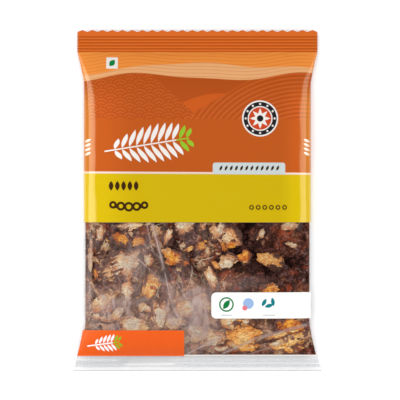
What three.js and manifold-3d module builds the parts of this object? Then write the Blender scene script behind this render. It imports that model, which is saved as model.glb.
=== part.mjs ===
// A flat heat-sealed pouch of deseeded tamarind pulp, lying on its back.
// Millimetres, +Z up. X runs across the pouch and Y from its bottom seal to its crimped top.
// The front faces +Z.
// The origin is under the middle of the pouch, on the surface that it lies on.
// Heights along the pouch are written h and counted from the cut edge of the bottom seal.

import * as THREE from "three";
import { mergeVertices } from "three/addons/utils/BufferGeometryUtils.js";
import Module from "manifold-3d";

const wasm = await Module();
wasm.setup();

// ---------- driving dimensions ----------
const POUCH_LENGTH = 213;
const POUCH_DEPTH = 18; // from the surface to the crown of the front
const BODY_WIDTH = 141.6; // across the filled middle
const TOP_WIDTH = 150; // the film lies flat at both ends, so it is wider there
const BOTTOM_WIDTH = 155.4;
const TOP_SEAL = 13.6; // length of the crimped seal
const BOTTOM_SEAL = 9.5;
const FILM = 0.5; // wall of the film, drawn thicker than a real laminate of about 0.1 mm
const SIDE_WALL = 0.8; // and at the side folds, where the film turns round
const SEAL_HEIGHT = 4.5; // of the middle of both seals above the surface
const FOLD_HEIGHT = 8; // of the side folds above the surface, along the filled middle

const NECK = 20; // below the crimp, the sides draw in over this length
const FLARE = 30; // and above the bottom edge over this one
const TOP_SHOULDER = 44; // from the crimp down to full depth
const BOTTOM_SHOULDER = 32;
const DRAW_IN_CURVE = 1.2; // exponent: 1 is straight, higher draws in sooner
const SWELL_CURVE = 0.8; // exponent: lower fills out sooner behind the seals
const FRONT_ROUNDNESS = 4.5; // exponent of the front's section: 2 is an ellipse, higher is flatter
const BACK_PRESS = 1.12; // how far the back would bulge past the surface, which flattens it

const RIBS = 7; // across the crimp
const BOTTOM_RIBS = 2;
const RIB_RELIEF = 0.3;
const TEETH = 24; // along the zigzag cut
const TOOTH_DEPTH = 1.2;

const LAP_WIDTH = 12; // overlap of the web's two edges down the back
const LAP_GAP = 0.35; // between the two edges, which keeps the pouch open to the air
const LAP_MOUTH = 0.8; // width of the gap's way out at the outer edge
const LAP_FOOT = 2; // where the inner edge joins the wall past the mouth

const PULP_COLUMNS = 4;
const PULP_ROWS = 6;
const PULP_LOW = 12; // the pulp fills the pouch between these two heights
const PULP_HIGH = 180;
const PULP_SPREAD = 0.3; // how far a lump's middle strays from its place, as a share of the spacing
const PULP_STAGGER = 0.16; // how far alternate rows are shifted, as a share of the spacing
const PULP_SEAM = 0.45; // half of the gap between neighbouring lumps
const PULP_SEED = 41;
const PULP_SIDE_ROOM = 3.2; // between a lump and the side folds
const LUMP_CORNER = 9; // exponent: higher gives a lump sharper corners
const LUMP_EDGE = 3.2; // exponent: higher keeps a lump's face flat further out
const LUMP_FLANK = 0.45; // exponent: lower makes a lump's flanks steeper
const LUMP_RELIEF = 1.3; // depth of the hollows in a lump's face
const HOLLOW_SIZE = [3.1, 3.7]; // their spacing across and along, over 2 pi

const LINING_ROOM = 1.7; // between the pulp and the inside of the front film
const LINING_THICKNESS = 0.8;
const LINING_CLEARANCE = 0.4; // under and over each shred

// Shreds of the fruit's pale inner lining: [x, h, length, width, turn in degrees, colour].
const LININGS = [
  [-48, 67, 26, 17, 25, "cream"],
  [-13.5, 70.5, 15, 10, -15, "amber"],
  [19, 70, 13, 10, 20, "cream"],
  [13, 86.5, 12, 10, 80, "cream"],
  [47, 68, 20, 9, -30, "amber"],
  [58, 79, 9.5, 4, -15, "cream"],
  [-23.5, 38, 17, 10, 80, "cream"],
  [29.5, 23.5, 20, 14, 5, "amber"],
  [-59, 41, 16, 11, 40, "cream"],
  [-42, 27, 17, 13, 10, "cream"],
  [1.5, 23, 14, 10, -30, "cream"],
  [55, 29, 14, 10, 20, "amber"],
  [-61, 84, 15, 6, 80, "cream"],
  [-43, 91, 16, 6, 0, "cream"],
  [-9, 89, 14, 9, 20, "cream"],
  [-29, 54.5, 14, 9, 60, "amber"],
  [9.5, 56, 18, 6, -70, "cream"],
  [42.5, 50.5, 14, 8, 10, "amber"],
];

const finish = (color, roughness) =>
  new THREE.MeshStandardMaterial({ color, roughness, metalness: 0 });
const FILM_FINISH = finish(0xd0682a, 0.3);
const PULP_FINISH = finish(0x4a2c22, 0.55);
const LINING_FINISH = { cream: finish(0xd8c0a0, 0.7), amber: finish(0xb8622a, 0.6) };

// ---------- the pouch's surfaces, by x and h ----------
const clamp01 = (t) => Math.min(1, Math.max(0, t));
const mix = (a, b, t) => a + (b - a) * t;
const drawIn = (t) => (1 - clamp01(t)) ** DRAW_IN_CURVE;
const swell = (t) => Math.sin((Math.PI / 2) * clamp01(t)) ** SWELL_CURVE;

const sealTop = POUCH_LENGTH - TOP_SEAL; // the crimp's lower edge
const toY = (h) => h - POUCH_LENGTH / 2;

function halfWidth(h) {
  const atBottom = ((BOTTOM_WIDTH - BODY_WIDTH) / 2) * drawIn(h / FLARE);
  const atTop = ((TOP_WIDTH - BODY_WIDTH) / 2) * drawIn((sealTop - h) / NECK);
  return BODY_WIDTH / 2 + atBottom + atTop;
}

// 0 in the seals and 1 where the pouch is full.
const fullness = (h) =>
  swell((h - BOTTOM_SEAL) / BOTTOM_SHOULDER) * swell((sealTop - h) / TOP_SHOULDER);

// 1 in the middle and 0 at the side folds.
const across = (x, half) => Math.sqrt(1 - clamp01(Math.abs(x) / half) ** FRONT_ROUNDNESS);

const foldHeight = (h) => mix(SEAL_HEIGHT, FOLD_HEIGHT, fullness(h));
const FRONT_BULGE = POUCH_DEPTH - FOLD_HEIGHT - FILM;
const BACK_BULGE = (FOLD_HEIGHT - FILM) * BACK_PRESS;

const frontAt = (x, h) =>
  foldHeight(h) + FILM + fullness(h) * FRONT_BULGE * across(x, halfWidth(h));
const backAt = (x, h) =>
  Math.max(0, foldHeight(h) - FILM - fullness(h) * BACK_BULGE * across(x, halfWidth(h)));

// The inside of the film. It keeps a sliver of height at its edges, so that it is a closed solid.
const SLIVER = 0.1;
const insideHalf = (h) => halfWidth(h) - SIDE_WALL;
const insideFrontAt = (x, h) =>
  foldHeight(h) + SLIVER + fullness(h) * (FRONT_BULGE - SLIVER) * across(x, insideHalf(h));
const insideBackAt = (x, h) =>
  Math.max(
    FILM,
    foldHeight(h) - SLIVER - fullness(h) * (BACK_BULGE - FILM + SLIVER) * across(x, insideHalf(h)),
  );

// ---------- closed solids ----------
// A solid between two skins over a grid: point(u, v, 1) is on the upper skin and point(u, v, 0)
// on the lower one.
function twoSkins(us, vs, point) {
  const positions = [];
  const index = [];
  const at = (i, j, upper) => (j * us.length + i) * 2 + upper;
  for (const v of vs)
    for (const u of us) for (const upper of [0, 1]) positions.push(...point(u, v, upper));
  const face = (a, b, c, d) => index.push(a, b, c, a, c, d);
  const lastI = us.length - 1;
  const lastJ = vs.length - 1;
  for (let j = 0; j < lastJ; j++)
    for (let i = 0; i < lastI; i++) {
      face(at(i, j, 1), at(i + 1, j, 1), at(i + 1, j + 1, 1), at(i, j + 1, 1));
      face(at(i, j, 0), at(i, j + 1, 0), at(i + 1, j + 1, 0), at(i + 1, j, 0));
    }
  for (let i = 0; i < lastI; i++) {
    face(at(i, 0, 0), at(i + 1, 0, 0), at(i + 1, 0, 1), at(i, 0, 1));
    face(at(i + 1, lastJ, 0), at(i, lastJ, 0), at(i, lastJ, 1), at(i + 1, lastJ, 1));
  }
  for (let j = 0; j < lastJ; j++) {
    face(at(0, j + 1, 0), at(0, j, 0), at(0, j, 1), at(0, j + 1, 1));
    face(at(lastI, j, 0), at(lastI, j + 1, 0), at(lastI, j + 1, 1), at(lastI, j, 1));
  }
  return geometryOf(positions, index);
}

// A solid between two skins over a star-shaped patch: rim(angle) is its outline's radius, and
// point(x, y, share, upper) gives a point of a skin, where share is 0 in the middle and 1 on the rim.
// The skins meet on the rim unless walled is true, and a wall joins them there.
function patchSolid(sides, rings, rim, point, walled) {
  const positions = [];
  const index = [];
  const spot = (ring, side, upper) => {
    const angle = (side / sides) * 2 * Math.PI;
    const share = ring / rings;
    const reach = rim(angle) * share;
    return point(reach * Math.cos(angle), reach * Math.sin(angle), share, upper);
  };
  const skinStart = [];
  for (const upper of [0, 1]) {
    skinStart[upper] = positions.length / 3;
    positions.push(...spot(0, 0, upper));
    for (let ring = 1; ring <= rings; ring++)
      for (let side = 0; side < sides; side++) positions.push(...spot(ring, side, upper));
  }
  const at = (ring, side, upper) =>
    skinStart[!walled && ring === rings ? 0 : upper] +
    (ring === 0 ? 0 : 1 + (ring - 1) * sides + (side % sides));
  const face = (upper, a, b, c) => (upper ? index.push(a, b, c) : index.push(a, c, b));
  for (const upper of [0, 1])
    for (let side = 0; side < sides; side++) {
      face(upper, at(0, 0, upper), at(1, side, upper), at(1, side + 1, upper));
      for (let ring = 1; ring < rings; ring++) {
        face(upper, at(ring, side, upper), at(ring + 1, side, upper), at(ring + 1, side + 1, upper));
        face(upper, at(ring, side, upper), at(ring + 1, side + 1, upper), at(ring, side + 1, upper));
      }
    }
  if (walled)
    for (let side = 0; side < sides; side++) {
      index.push(at(rings, side, 0), at(rings, side + 1, 0), at(rings, side + 1, 1));
      index.push(at(rings, side, 0), at(rings, side + 1, 1), at(rings, side, 1));
    }
  return geometryOf(positions, index);
}

function geometryOf(positions, index) {
  const geometry = new THREE.BufferGeometry();
  geometry.setAttribute("position", new THREE.Float32BufferAttribute(positions, 3));
  geometry.setIndex(index);
  return geometry;
}

function toSolid(geometry) {
  const bare = geometry.clone();
  bare.deleteAttribute("normal");
  bare.deleteAttribute("uv");
  const merged = mergeVertices(bare, 1e-4);
  return new wasm.Manifold(
    new wasm.Mesh({
      numProp: 3,
      vertProperties: merged.attributes.position.array,
      triVerts: new Uint32Array(merged.index.array),
    }),
  );
}

function toGeometry(solid) {
  const mesh = solid.getMesh();
  return geometryOf(Array.from(mesh.vertProperties), Array.from(mesh.triVerts));
}

function named(name, geometry, material) {
  geometry.computeVertexNormals();
  const mesh = new THREE.Mesh(geometry, material);
  mesh.name = name;
  return mesh;
}

const steps = (from, to, count) =>
  Array.from({ length: count + 1 }, (_, i) => mix(from, to, i / count));

// ---------- the film ----------
// Shares of the half width, closer together where the section turns round the folds.
const SHARES = [0, 0.2, 0.4, 0.56, 0.68, 0.78, 0.86, 0.92, 0.965, 0.99, 1];
const ACROSS = [...SHARES.slice(1).reverse().map((s) => -s), ...SHARES];

// Heights along the body, closer together on the shoulders.
function bodyHeights() {
  const CROWDING = 1.6;
  const lowEnd = BOTTOM_SEAL + BOTTOM_SHOULDER;
  const highEnd = sealTop - TOP_SHOULDER;
  const eased = (from, to, count) =>
    steps(0, 1, count).map((t) => mix(from, to, t ** CROWDING));
  return [
    ...eased(BOTTOM_SEAL, lowEnd, 7),
    ...steps(lowEnd, highEnd, 5).slice(1, -1),
    ...eased(sealTop, highEnd, 8).reverse(),
  ];
}

function bodySkin() {
  return twoSkins(ACROSS, bodyHeights(), (share, h, upper) => {
    const x = share * halfWidth(h);
    return [x, toY(h), upper ? frontAt(x, h) : backAt(x, h)];
  });
}

function insideSpace() {
  return twoSkins(ACROSS, bodyHeights(), (share, h, upper) => {
    const x = share * insideHalf(h);
    return [x, toY(h), upper ? insideFrontAt(x, h) : insideBackAt(x, h)];
  });
}

// Both films pressed together, with ribs that run across and lift both faces alike.
// The end at joined runs into the body, where it is slimmer on every side, so that no face of it shows.
function sealBand(low, high, joined, ribs, relief) {
  const GRIP = 0.5;
  const SLIMMER = 0.2;
  const THICKER = 0.04; // elsewhere, so that its faces don't lie in the body's faces
  const stops = steps(low, high, 2 * ribs);
  return twoSkins([-1, 1], stops, (share, h, upper) => {
    const inside = h === joined;
    const reach = inside ? h + Math.sign(high + low - 2 * h) * -GRIP : h;
    const half = inside ? FILM - SLIMMER : FILM + THICKER;
    const z = SEAL_HEIGHT + relief * (stops.indexOf(h) % 2) + (upper ? half : -half);
    return [share * (halfWidth(reach) - (inside ? SLIMMER : 0)), toY(reach), z];
  });
}

// The waste of the zigzag cut, which is taken off the top edge.
function zigzagWaste() {
  const PAST_THE_TIPS = 0.01; // so that two neighbouring cuts don't meet in a point on the edge
  const pitch = TOP_WIDTH / TEETH;
  const left = -TOP_WIDTH / 2;
  const top = toY(POUCH_LENGTH);
  const shape = new THREE.Shape();
  shape.moveTo(left - pitch, top + pitch);
  shape.lineTo(left - pitch, top - TOOTH_DEPTH);
  for (let i = 0; i <= TEETH; i++) {
    shape.lineTo(left + i * pitch, top - TOOTH_DEPTH);
    if (i < TEETH) shape.lineTo(left + (i + 0.5) * pitch, top + PAST_THE_TIPS);
  }
  shape.lineTo(left + (TEETH + 1) * pitch, top - TOOTH_DEPTH);
  shape.lineTo(left + (TEETH + 1) * pitch, top + pitch);
  const depth = 8 * FILM;
  return new THREE.ExtrudeGeometry(shape, { depth, bevelEnabled: false })
    .translate(0, 0, SEAL_HEIGHT - depth / 2);
}

// A strip along the back between two values of x, at heights over the back's outer face.
function backStrip(left, right, under, over) {
  return twoSkins([left, right], bodyHeights(), (x, h, upper) => [
    x,
    toY(h),
    backAt(0, h) + (upper ? over : under),
  ]);
}

function pouchFilm() {
  const lapEdge = LAP_WIDTH / 2;
  const footEnd = lapEdge + LAP_FOOT;
  const body = toSolid(bodySkin());
  const innerEdge = toSolid(backStrip(-lapEdge, footEnd, FILM / 2, 2 * FILM + LAP_GAP)).intersect(body);
  const gap = toSolid(backStrip(-footEnd, lapEdge + LAP_MOUTH, FILM, FILM + LAP_GAP));
  const mouth = toSolid(backStrip(lapEdge, lapEdge + LAP_MOUTH, -2 * FILM, FILM + LAP_GAP));
  const film = body
    .add(toSolid(sealBand(sealTop, POUCH_LENGTH, sealTop, RIBS, RIB_RELIEF)))
    .add(toSolid(sealBand(0, BOTTOM_SEAL, BOTTOM_SEAL, BOTTOM_RIBS, RIB_RELIEF / 2)))
    .subtract(toSolid(zigzagWaste()))
    .subtract(toSolid(insideSpace()))
    .add(innerEdge)
    .subtract(gap)
    .subtract(mouth);
  return toGeometry(film);
}

// ---------- the pulp ----------
// Mulberry32: a small random generator that gives the same draw each time.
function generator(seed) {
  let state = seed;
  return () => {
    state = (state + 0x6d2b79f5) | 0;
    let t = Math.imul(state ^ (state >>> 15), 1 | state);
    t = (t + Math.imul(t ^ (t >>> 7), 61 | t)) ^ t;
    return ((t ^ (t >>> 14)) >>> 0) / 4294967296;
  };
}

const pulpTopAt = (x, h) => insideFrontAt(x, h) - LINING_ROOM;
const pulpFloorAt = (x, h) => insideBackAt(x, h) + FILM + LAP_GAP + LINING_CLEARANCE;

function pulpMiddles() {
  const draw = generator(PULP_SEED);
  const pitchX = BODY_WIDTH / PULP_COLUMNS;
  const pitchH = (PULP_HIGH - PULP_LOW) / PULP_ROWS;
  const middles = [];
  for (let row = 0; row < PULP_ROWS; row++)
    for (let column = 0; column < PULP_COLUMNS; column++) {
      const stray = () => (draw() - 0.5) * 2 * PULP_SPREAD;
      const lean = (row % 2 ? PULP_STAGGER : -PULP_STAGGER) * pitchX;
      middles.push({
        x: -BODY_WIDTH / 2 + (column + 0.5 + stray()) * pitchX + lean,
        h: PULP_LOW + (row + 0.5 + stray()) * pitchH,
        phase: draw() * 2 * Math.PI,
      });
    }
  return middles;
}

// How far a lump reaches in a direction before it meets a neighbour or the film, with rounded corners.
function lumpReach(lump, middles, angle) {
  const [dx, dh] = [Math.cos(angle), Math.sin(angle)];
  const limits = [];
  const wall = insideHalf(lump.h) - PULP_SIDE_ROOM;
  if (dx > 0.01) limits.push((wall - lump.x) / dx);
  if (dx < -0.01) limits.push((wall + lump.x) / -dx);
  if (dh > 0.01) limits.push((PULP_HIGH - lump.h) / dh);
  if (dh < -0.01) limits.push((lump.h - PULP_LOW) / -dh);
  for (const other of middles) {
    const [ox, oh] = [other.x - lump.x, other.h - lump.h];
    const apart = Math.hypot(ox, oh);
    const facing = (dx * ox + dh * oh) / (apart || 1);
    if (facing > 0.01) limits.push((apart / 2 - PULP_SEAM) / facing);
  }
  return limits.reduce((sum, limit) => sum + limit ** -LUMP_CORNER, 0) ** (-1 / LUMP_CORNER);
}

function pulpLump(lump, middles) {
  const wave = (x, h) =>
    Math.sin(x / HOLLOW_SIZE[0] + lump.phase) * Math.cos(h / HOLLOW_SIZE[1] - lump.phase);
  const hollow = (x, h) => (LUMP_RELIEF / 2) * (1 + wave(x, h));
  const rim = (angle) => lumpReach(lump, middles, angle);
  return patchSolid(16, 3, rim, (dx, dh, share, upper) => {
    const [x, h] = [lump.x + dx, lump.h + dh];
    const dome = (1 - share ** LUMP_EDGE) ** LUMP_FLANK;
    const face = upper ? pulpTopAt(x, h) - hollow(x, h) : pulpFloorAt(x, h);
    const middle = foldHeight(h);
    return [x, toY(h), mix(middle, upper ? Math.max(face, middle) : Math.min(face, middle), dome)];
  }, false);
}

// ---------- the linings ----------
function liningShred([x0, h0, length, width, turn], number) {
  const [c, s] = [Math.cos((turn * Math.PI) / 180), Math.sin((turn * Math.PI) / 180)];
  const ragged = (angle) =>
    1 + 0.14 * Math.sin(3 * angle + number) + 0.1 * Math.sin(7 * angle + 2.3 * number);
  const rim = (angle) => {
    const oval = Math.hypot(Math.cos(angle) / (length / 2), Math.sin(angle) / (width / 2));
    return ragged(angle) / oval / 1.12;
  };
  return patchSolid(16, 2, rim, (dx, dh, share, upper) => {
    const [x, h] = [x0 + c * dx - s * dh, h0 + s * dx + c * dh];
    const z = pulpTopAt(x, h) + LINING_CLEARANCE + (upper ? LINING_THICKNESS : 0);
    return [x, toY(h), z];
  }, true);
}

// ---------- the assembly ----------
const twoDigits = (n) => String(n + 1).padStart(2, "0");
const pouch = new THREE.Group();
pouch.add(named("pouch_film", pouchFilm(), FILM_FINISH));

const middles = pulpMiddles();
middles.forEach((lump, i) =>
  pouch.add(named(`pulp_${twoDigits(i)}`, pulpLump(lump, middles), PULP_FINISH)),
);
LININGS.forEach((shred, i) =>
  pouch.add(named(`lining_${twoDigits(i)}`, liningShred(shred, i), LINING_FINISH[shred[5]])),
);

export default pouch;
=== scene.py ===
"""A flat heat-sealed pouch of deseeded tamarind pulp, lying on its back on a white table.

Lengths are named in millimetres and become metres only when a mesh is written.
X runs across the pouch. Heights along it are written h, from the cut edge of the bottom seal.
"""

import math
import random

import bmesh
import bpy
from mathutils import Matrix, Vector, noise
from mathutils.bvhtree import BVHTree


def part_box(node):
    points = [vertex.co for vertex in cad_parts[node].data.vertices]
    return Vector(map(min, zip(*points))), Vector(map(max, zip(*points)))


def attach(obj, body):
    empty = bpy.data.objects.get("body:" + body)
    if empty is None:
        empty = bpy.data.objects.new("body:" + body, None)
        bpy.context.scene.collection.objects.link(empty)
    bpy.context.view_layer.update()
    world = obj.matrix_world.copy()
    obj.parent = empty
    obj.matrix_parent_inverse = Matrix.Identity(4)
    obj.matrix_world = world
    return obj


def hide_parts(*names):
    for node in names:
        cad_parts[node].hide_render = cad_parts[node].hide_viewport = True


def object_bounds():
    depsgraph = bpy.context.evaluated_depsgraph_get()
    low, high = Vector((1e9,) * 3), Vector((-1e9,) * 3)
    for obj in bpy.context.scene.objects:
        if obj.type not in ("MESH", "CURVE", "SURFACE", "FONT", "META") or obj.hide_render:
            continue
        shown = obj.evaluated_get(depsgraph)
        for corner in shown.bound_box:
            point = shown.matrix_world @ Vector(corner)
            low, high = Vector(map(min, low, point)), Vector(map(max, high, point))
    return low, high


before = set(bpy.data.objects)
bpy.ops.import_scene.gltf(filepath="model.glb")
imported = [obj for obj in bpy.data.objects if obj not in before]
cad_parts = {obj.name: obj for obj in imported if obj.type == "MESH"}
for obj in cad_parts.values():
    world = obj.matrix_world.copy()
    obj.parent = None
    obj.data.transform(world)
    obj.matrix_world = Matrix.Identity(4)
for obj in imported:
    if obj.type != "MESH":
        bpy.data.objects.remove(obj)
cad_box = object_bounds()

MM = 0.001

# ---------- the pouch's dimensions ----------
LENGTH = (cad_box[1].y - cad_box[0].y) / MM
DEPTH = cad_box[1].z / MM
BOTTOM_WIDTH = (cad_box[1].x - cad_box[0].x) / MM
BODY_WIDTH = 141.6
TOP_WIDTH = 150.0
TOP_SEAL = 13.6
BOTTOM_SEAL = 9.5
FILM = 0.5
SEAL_HEIGHT = 4.5
FOLD_HEIGHT = 8.0
NECK = 20.0
FLARE = 30.0
TOP_SHOULDER = 44.0
BOTTOM_SHOULDER = 32.0
DRAW_IN_CURVE = 1.2
SWELL_CURVE = 0.8
FRONT_ROUNDNESS = 4.5
BACK_PRESS = 1.12
TEETH = 24
TOOTH_DEPTH = 1.2
RIB_PITCH = 1.87
RIB_RELIEF = 0.3
RIB_MARGIN = 3.6  # plain film above the ribs, up to the zigzag
LAP_EDGE = 6.0  # x of the outer edge of the back's lap seam
LAP_STEP = 0.25
LINING_ROOM = 1.7
SIDE_WALL = 0.8  # the film is thicker at the folds, where it turns round

SEAL_TOP = LENGTH - TOP_SEAL
FRONT_BULGE = DEPTH - FOLD_HEIGHT - FILM
BACK_BULGE = (FOLD_HEIGHT - FILM) * BACK_PRESS

# ---------- the printed layout ----------
WINDOW_TOP = 92.9
YELLOW_TOP = 122.9
WHITE_LINE = 1.25
ART_LOW = 157.0
ART_TOP = 184.0
CLEAR_EDGE = 9.55  # the ink ends this far above the bottom edge

# Pale creases in the window's film: (x, h) of both ends, the width and the strength.
CREASES = [
    (-28.3, 94.0, -20.3, 62.0, 1.9, 0.36),
    (-28.9, 94.0, -21.0, 66.0, 0.55, 0.40),
    (-31.6, 93.0, -27.6, 74.0, 0.7, 0.34),
    (-20.5, 63.0, -16.0, 42.0, 0.8, 0.42),
    (-16.0, 42.0, -9.0, 29.0, 0.6, 0.30),
    (-44.0, 78.0, -30.5, 64.0, 0.5, 0.26),
    (-34.0, 80.0, -22.0, 70.0, 0.6, 0.26),
    (-66.0, 90.0, -69.0, 28.0, 2.6, 0.26),
    (-8.5, 9.5, 16.5, 23.0, 1.0, 0.55),
    (14.0, 10.0, 38.0, 21.5, 1.4, 0.48),
    (36.0, 20.5, 71.0, 30.0, 2.0, 0.46),
    (30.0, 10.0, 52.0, 17.0, 0.6, 0.4),
    (-54.0, 52.0, -48.0, 24.0, 1.2, 0.2),
    (-14.0, 58.0, -4.0, 40.0, 0.6, 0.3),
    (-12.0, 62.0, -8.5, 50.0, 0.5, 0.3),
    (-46.0, 92.0, -40.0, 74.0, 0.4, 0.26),
    (-38.0, 71.0, -25.0, 60.0, 0.45, 0.3),
    (-3.0, 65.0, -7.0, 48.0, 0.45, 0.3),
    (-51.0, 62.0, -43.0, 47.0, 0.5, 0.22),
]

# Milky smears, where the film clings to the pulp: x, h, half width, half height and strength.
SMEARS = [
    (-13.5, 44.0, 30.0, 22.0, 1.1),
    (24.0, 55.0, 30.0, 7.0, 0.4),
    (-44.0, 44.0, 20.0, 12.0, 0.7),
    (-24.0, 31.0, 34.0, 10.0, 0.75),
    (2.0, 20.0, 18.0, 12.0, 0.25),
    (-34.0, 66.0, 15.0, 24.0, 0.55),
]


def clamp(value, low=0.0, high=1.0):
    return min(high, max(low, value))


def mix(a, b, share):
    return a + (b - a) * share


def smooth(share):
    share = clamp(share)
    return share * share * (3 - 2 * share)


# ---------- the pouch's surfaces, as in the solid model ----------
def draw_in(t):
    return (1 - clamp(t)) ** DRAW_IN_CURVE


def swell(t):
    return math.sin(math.pi / 2 * clamp(t)) ** SWELL_CURVE


def half_width(h):
    at_bottom = (BOTTOM_WIDTH - BODY_WIDTH) / 2 * draw_in(h / FLARE)
    at_top = (TOP_WIDTH - BODY_WIDTH) / 2 * draw_in((SEAL_TOP - h) / NECK)
    return BODY_WIDTH / 2 + at_bottom + at_top


def fullness(h):
    """0 in the seals and 1 where the pouch is full."""
    return swell((h - BOTTOM_SEAL) / BOTTOM_SHOULDER) * swell((SEAL_TOP - h) / TOP_SHOULDER)


def across(x, half):
    """1 in the middle and 0 at the side folds."""
    return math.sqrt(1 - clamp(abs(x) / half) ** FRONT_ROUNDNESS)


def fold_height(h):
    return mix(SEAL_HEIGHT, FOLD_HEIGHT, fullness(h))


def front_at(x, h):
    return fold_height(h) + FILM + fullness(h) * FRONT_BULGE * across(x, half_width(h))


def back_at(x, h):
    return max(0.0, fold_height(h) - FILM - fullness(h) * BACK_BULGE * across(x, half_width(h)))


def pulp_top(x, h):
    """The pulp's upper face, where nothing lies on it."""
    inside = half_width(h) - SIDE_WALL
    return fold_height(h) + fullness(h) * FRONT_BULGE * across(x, inside) - LINING_ROOM


def near_line(x, h, line):
    """Distance from a crease, and how far along it the nearest point is, from 0 to 1."""
    x0, h0, x1, h1 = line[:4]
    run_x, run_h = x1 - x0, h1 - h0
    along = clamp(((x - x0) * run_x + (h - h0) * run_h) / (run_x**2 + run_h**2))
    return math.hypot(x - x0 - along * run_x, h - h0 - along * run_h), along


def noise_at(x, h, size, layer):
    return noise.noise(Vector((x / size, h / size, layer)))


# ---------- modelling helpers ----------
def deselect():
    bpy.ops.object.select_all(action="DESELECT")


def choose(piece):
    deselect()
    piece.select_set(True)
    bpy.context.view_layer.objects.active = piece


def apply_all(piece):
    choose(piece)
    for modifier in list(piece.modifiers):
        bpy.ops.object.modifier_apply(modifier=modifier.name)


def as_placed(x, h, z):
    return (x * MM, (h - LENGTH / 2) * MM, z * MM)


def edit_all(piece, operator, **settings):
    """Runs an edit-mode operator on the whole mesh."""
    choose(piece)
    bpy.ops.object.mode_set(mode="EDIT")
    bpy.ops.mesh.select_all(action="SELECT")
    operator(**settings)
    bpy.ops.object.mode_set(mode="OBJECT")


def slab(name, columns, rows):
    """A thin slab of that many cells. Its vertices are then placed by their column, row and side."""
    deselect()
    bpy.ops.mesh.primitive_grid_add(x_subdivisions=columns, y_subdivisions=rows, size=1)
    piece = bpy.context.object
    piece.name = name
    solidify = piece.modifiers.new("wall", "SOLIDIFY")
    solidify.thickness = 0.001
    solidify.offset = 0
    apply_all(piece)
    return piece


def place_by_grid(piece, columns, rows, where):
    """Moves each vertex to where(column, row, upper)."""
    for vertex in piece.data.vertices:
        column = round((vertex.co.x + 0.5) * columns)
        row = round((vertex.co.y + 0.5) * rows)
        vertex.co = as_placed(*where(column, row, vertex.co.z > 0))


def finish_piece(piece, slot, *nodes, material=None):
    """Smooth shading, its one material if given, and the nodes that it stands for, which are hidden. Slot is
    not used.
    """
    choose(piece)
    bpy.ops.object.shade_smooth()
    if material:
        piece.data.materials.clear()
        piece.data.materials.append(material)
    if nodes:
        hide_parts(*nodes)
    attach(piece, "root")
    return piece


# ---------- shader helpers ----------
class Value:
    """A number or colour in a shader tree. The usual signs add the nodes that work it out."""

    def __init__(self, build, socket):
        self.build = build
        self.socket = socket

    def __add__(self, other):
        return self.build.math("ADD", self, other)

    def __sub__(self, other):
        return self.build.math("SUBTRACT", self, other)

    def __rsub__(self, other):
        return self.build.math("SUBTRACT", other, self)

    def __mul__(self, other):
        return self.build.math("MULTIPLY", self, other)

    def __truediv__(self, other):
        return self.build.math("DIVIDE", self, other)

    def __abs__(self):
        return self.build.math("ABSOLUTE", self)

    __radd__ = __add__
    __rmul__ = __mul__


SOFT = 0.3  # a printed edge fades over this many millimetres


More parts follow.
